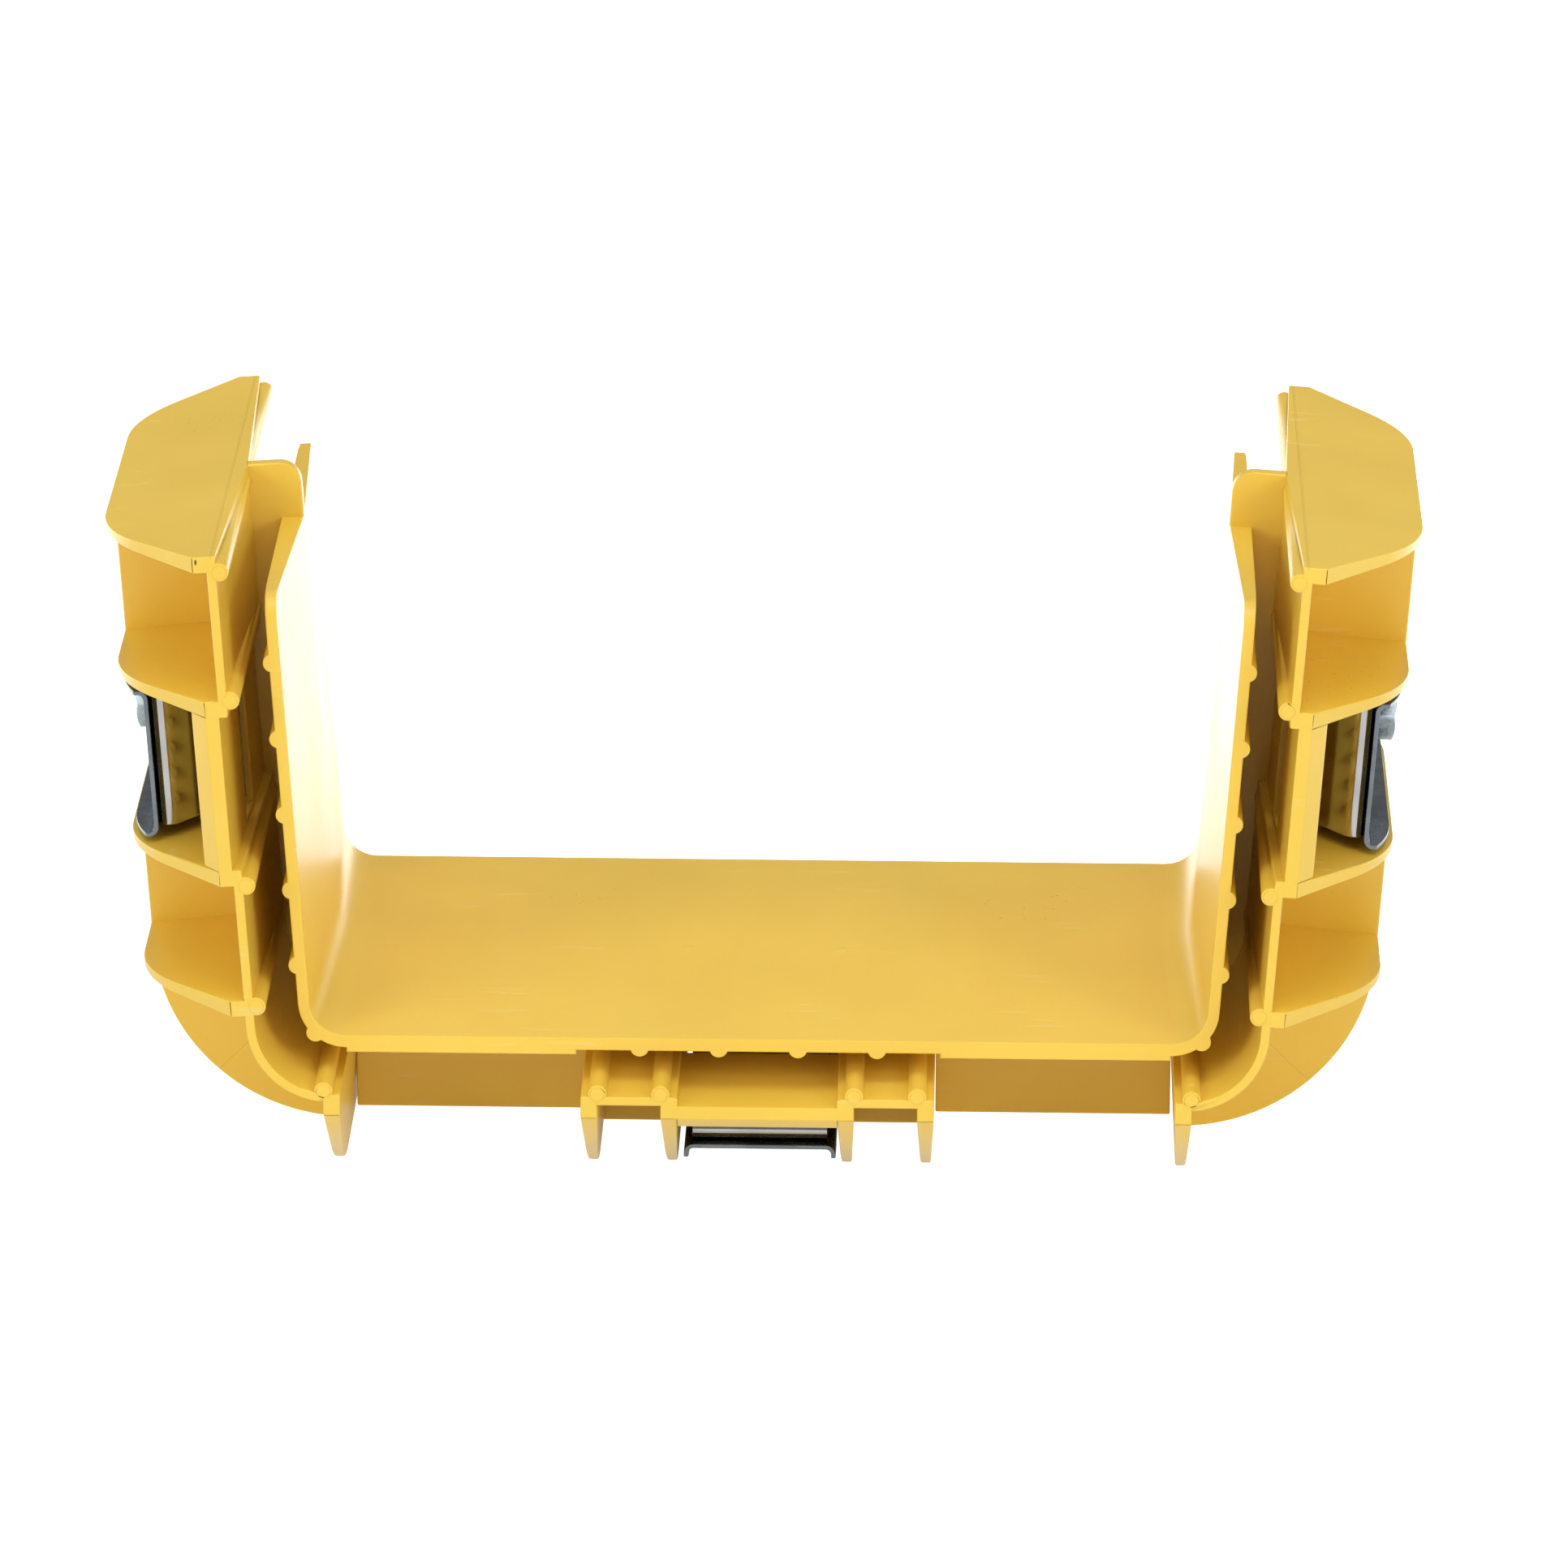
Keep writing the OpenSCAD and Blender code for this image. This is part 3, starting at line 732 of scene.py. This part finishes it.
for side in SIDES:
    tip, top = span_on_axis(side, "bolt")
    place_fastener(f"{side}_hex_bolt", side, [hex_block(side, LIFT, top), shank(tip, SOFT)],
                   f"{side}_screw", f"{side}_bolt")
print(f"bolt: {-tip / MM:.1f} mm under a head {top / MM:.1f} mm high")

# %% [markdown]
# A washer is punched from sheet: one edge is rounded by the punch and the other is a little sharper. A nut is
# the head's hexagon again, trimmed on both faces, round a plain bore.

# %% Washers and nuts
WASHER_BORE, WASHER_RIM, WASHER_SOFT = 2.75 * MM, 5.0 * MM, 0.18 * MM
NUT_BORE, NUT_LEAD = 2.5 * MM, 0.3 * MM
NUT_RIM = 0.94 * HEX_FLAT


def ring(low, high, bore, rim, soft):
    """Closed outline of a flat ring, as rows of (height, radius), with a quarter circle at each corner."""
    turn = np.linspace(0, math.pi / 2, 5)
    outer_low = [(low + soft * (1 - math.cos(t)), rim - soft * (1 - math.sin(t))) for t in turn]
    outer_high = [(high - soft * (1 - math.sin(t)), rim - soft * (1 - math.cos(t))) for t in turn]
    inner_high = [(high - soft * (1 - math.cos(t)), bore + soft * (1 - math.sin(t))) for t in turn]
    inner_low = [(low + soft * (1 - math.sin(t)), bore + soft * (1 - math.cos(t))) for t in turn]
    return np.array(outer_low + outer_high + inner_high + inner_low)


def torus_mesh(name, side, rows, flat=None):
    """Mesh of a closed outline carried round the axis; past flat, its radius follows a hexagon."""
    angles = np.linspace(0, 2 * math.pi, AROUND, endpoint=False)
    height = rows[:, :1] + 0 * angles
    radius = rows[:, 1:] + 0 * angles
    if flat is not None:
        sides = hexagon(angles, flat, 0.0)
        outside = rows[:, 1:] > 0.75 * flat
        radius = np.where(outside, np.minimum(sides, radius), radius)
    points = np.stack([height, radius * np.cos(angles), radius * np.sin(angles)], -1).reshape(-1, 3)
    count = len(rows)
    column = np.arange(AROUND)
    row = np.arange(count)[:, None]
    here, across = row * AROUND + column, row * AROUND + np.roll(column, -1)
    above, above_across = np.roll(here, -1, axis=0), np.roll(across, -1, axis=0)
    quads = np.stack([here, across, above_across, above], -1).reshape(-1, 4)
    mesh = mesh_in_frame(name, side, points, quads.tolist())
    face_outwards(mesh)
    return mesh


for side in SIDES:
    low, high = span_on_axis(side, "washer")
    name = f"{side}_flat_washer"
    mesh = torus_mesh(name, side, ring(low, high, WASHER_BORE, WASHER_RIM, WASHER_SOFT))
    place_piece(name, mesh, FASTENER, f"{side}_clamp", [f"{side}_washer"])
    low, high = span_on_axis(side, "nut")
    corner_radius = HEX_FLAT / math.cos(math.pi / 6)
    slope = (corner_radius - NUT_RIM) * TRIM
    rows = np.array([
        (low, NUT_RIM), (low + slope, corner_radius), (high - slope, corner_radius), (high, NUT_RIM),
        (high, NUT_BORE + NUT_LEAD), (high - NUT_LEAD, NUT_BORE), (low + NUT_LEAD, NUT_BORE),
        (low, NUT_BORE + NUT_LEAD),
    ])
    name = f"{side}_hex_nut"
    mesh = torus_mesh(name, side, rows, HEX_FLAT)
    place_piece(name, mesh, FASTENER, "moulding", [f"{side}_nut"])
print(f"nut: {(high - low) / MM:.1f} mm thick")

# %% [markdown]
# ## The floor
#
# A plain white sheet that runs far past the view. It glows, as an overexposed light table does. The camera
# sees that glow as even and bright, which drowns the yellow light that the object throws on the sheet. The
# light that the object gets from it is weaker in front and stronger behind, so the inner sides of the U
# shine.

# %% Floor
SHEET_SIZE = 12
BELOW_FEET = 0.2 * MM


def white_sheet():
    s = Shader("white_sheet")
    seen = s.node("ShaderNodeLightPath", {}, out="Is Camera Ray")
    glow = s.axis("Y").ramp(0.02, 0.3)
    light = s.mix(glow, (0.36, 0.36, 0.36, 1), (2.5, 2.5, 2.5, 1))
    light = s.mix(seen, light, (1.1, 1.1, 1.1, 1))
    return s.finish(Base_Color=(0.6, 0.6, 0.6, 1), Roughness=0.9, Emission_Color=light, Emission_Strength=1.0)


bpy.ops.mesh.primitive_plane_add(size=SHEET_SIZE, location=(0, 0, -BELOW_FEET))
floor = bpy.context.object
floor.name = "floor"
floor.data.materials.append(white_sheet())
